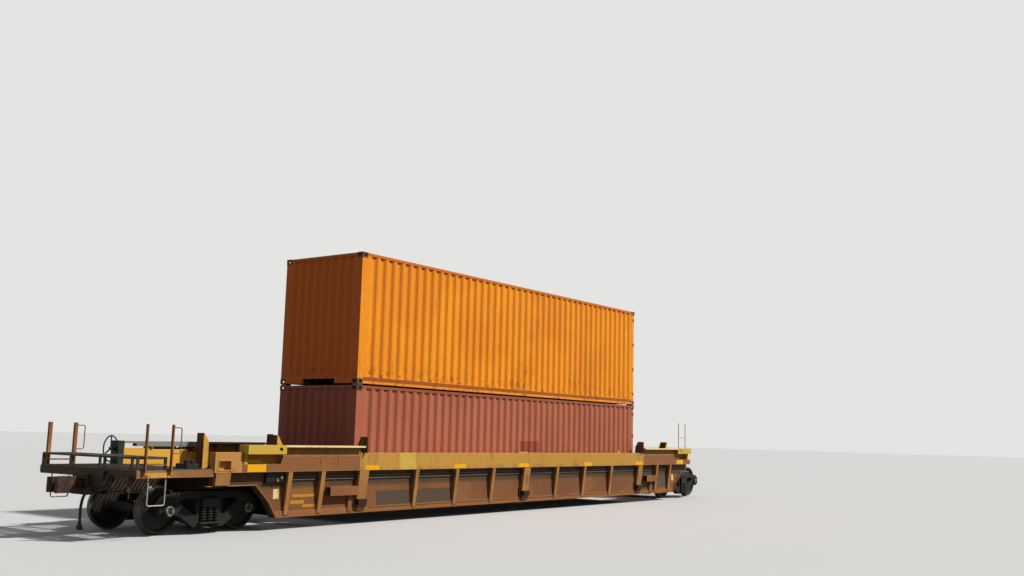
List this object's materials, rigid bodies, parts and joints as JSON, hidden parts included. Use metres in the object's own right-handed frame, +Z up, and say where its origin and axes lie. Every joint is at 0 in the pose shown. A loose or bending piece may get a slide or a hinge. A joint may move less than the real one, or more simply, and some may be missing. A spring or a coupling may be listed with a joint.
{
  "type": "double-stack well wagon unit with containers",
  "caption": "End unit of an articulated double-stack well wagon on two trucks, with two stacked 40-foot containers in the well, opening doors and turning wheels",
  "frame": {"origin": "middle of the whole unit in plan, at the lowest point of the wheel flanges", "axes": "+X along the wagon from the coupler end to the articulated end, +Y to the far side, +Z up"},
  "size_m": [23.3848, 3.24, 5.8553],
  "materials": {
    "car_yellow": "yellow-tan freight paint, faded and dusted with rust",
    "galvanised": "weathered galvanised steel",
    "bare_casting": "bare rusty cast steel",
    "dark_casting": "cast steel under brake dust and grease",
    "spring_steel": "dusty spring steel",
    "wheel_steel": "oxidised wheel steel, bright on the treads",
    "container_red": "faded brown-red container paint",
    "container_orange": "orange container paint with rust scratches",
    "rubber": "weathered black hose rubber",
    "floor_timber": "sealed floor boards on dark members"
  },
  "bodies": {
    "root": {"side_near": "car_yellow", "side_far": "car_yellow", "top_chord_near": "car_yellow", "top_chord_far": "car_yellow", "walkway_near": "car_yellow", "walkway_far": "car_yellow", "container_guides": "car_yellow", "well_floor": "car_yellow", "end_frame_a": "car_yellow", "end_frame_b": "car_yellow", "platform": "car_yellow", "deck_grating": "galvanised", "coupler": "bare_casting", "knuckle": "bare_casting", "hand_brake_housing": "car_yellow", "corner_locks": "galvanised", "lower_frame": "container_red", "lower_walls": "container_red", "lower_roof": "container_red", "lower_floor": "floor_timber", "upper_frame": "container_orange", "upper_walls": "container_orange", "upper_roof": "container_orange", "upper_floor": "floor_timber", "corner_castings_top": "container_orange", "side_pipes": "galvanised", "valve_box": "dark_casting", "side_brackets": "car_yellow", "raised_step": "galvanised", "stanchions": "car_yellow", "uncoupling_lever": "dark_casting", "end_bracket": "car_yellow", "air_hose": "rubber", "hose_head": "dark_casting", "brake_valves": "dark_casting", "marker_rods": "galvanised"},
    "truck_a": {"side_frames_a": "dark_casting", "bolster_a": "dark_casting", "springs_a": "spring_steel", "brake_beams_a": "dark_casting"},
    "wheelset_a1": {"wheels_a1": "wheel_steel", "axle_a1": "wheel_steel"},
    "wheelset_a2": {"wheels_a2": "wheel_steel", "axle_a2": "wheel_steel"},
    "truck_b": {"side_frames_b": "dark_casting", "bolster_b": "dark_casting", "springs_b": "spring_steel", "brake_beams_b": "dark_casting"},
    "wheelset_b1": {"wheels_b1": "wheel_steel", "axle_b1": "wheel_steel"},
    "wheelset_b2": {"wheels_b2": "wheel_steel", "axle_b2": "wheel_steel"},
    "lower_door_near": {"lower_door_near": "container_red"},
    "lower_door_far": {"lower_door_far": "container_red"},
    "upper_door_near": {"upper_door_near": "container_orange"},
    "upper_door_far": {"upper_door_far": "container_orange"},
    "hand_brake_wheel": {"hand_brake_wheel": "dark_casting"}
  },
  "joints": [
    {"name": "truck_a_swivel", "type": "hinge", "parent": "root", "child": "truck_a", "pos_m": [-9.15045, 0, 0.6794], "axis": [0, 0, 1], "range_deg": [-6, 6]},
    {"name": "wheelset_a1_spin", "type": "hinge", "parent": "truck_a", "child": "wheelset_a1", "pos_m": [-10.03945, 0, 0.4444], "axis": [0, 1, 0], "continuous": true},
    {"name": "wheelset_a2_spin", "type": "hinge", "parent": "truck_a", "child": "wheelset_a2", "pos_m": [-8.26145, 0, 0.4444], "axis": [0, 1, 0], "continuous": true},
    {"name": "truck_b_swivel", "type": "hinge", "parent": "root", "child": "truck_b", "pos_m": [10.26955, 0, 0.6794], "axis": [0, 0, 1], "range_deg": [-6, 6]},
    {"name": "wheelset_b1_spin", "type": "hinge", "parent": "truck_b", "child": "wheelset_b1", "pos_m": [9.35505, 0, 0.5084], "axis": [0, 1, 0], "continuous": true},
    {"name": "wheelset_b2_spin", "type": "hinge", "parent": "truck_b", "child": "wheelset_b2", "pos_m": [11.18405, 0, 0.5084], "axis": [0, 1, 0], "continuous": true},
    {"name": "lower_door_near_hinge", "type": "hinge", "parent": "root", "child": "lower_door_near", "pos_m": [6.60355, -1.2, 1.6409], "axis": [0, 0, -1], "range_deg": [0, 95]},
    {"name": "lower_door_far_hinge", "type": "hinge", "parent": "root", "child": "lower_door_far", "pos_m": [6.60355, 1.2, 1.6409], "axis": [0, 0, 1], "range_deg": [0, 95]},
    {"name": "upper_door_near_hinge", "type": "hinge", "parent": "root", "child": "upper_door_near", "pos_m": [6.60355, -1.2, 4.4074], "axis": [0, 0, -1], "range_deg": [0, 270]},
    {"name": "upper_door_far_hinge", "type": "hinge", "parent": "root", "child": "upper_door_far", "pos_m": [6.60355, 1.2, 4.4074], "axis": [0, 0, 1], "range_deg": [0, 270]},
    {"name": "hand_brake_spin", "type": "hinge", "parent": "root", "child": "hand_brake_wheel", "pos_m": [-9.71045, 1.33, 1.4854], "axis": [1, 0, 0], "continuous": true}
  ]
}
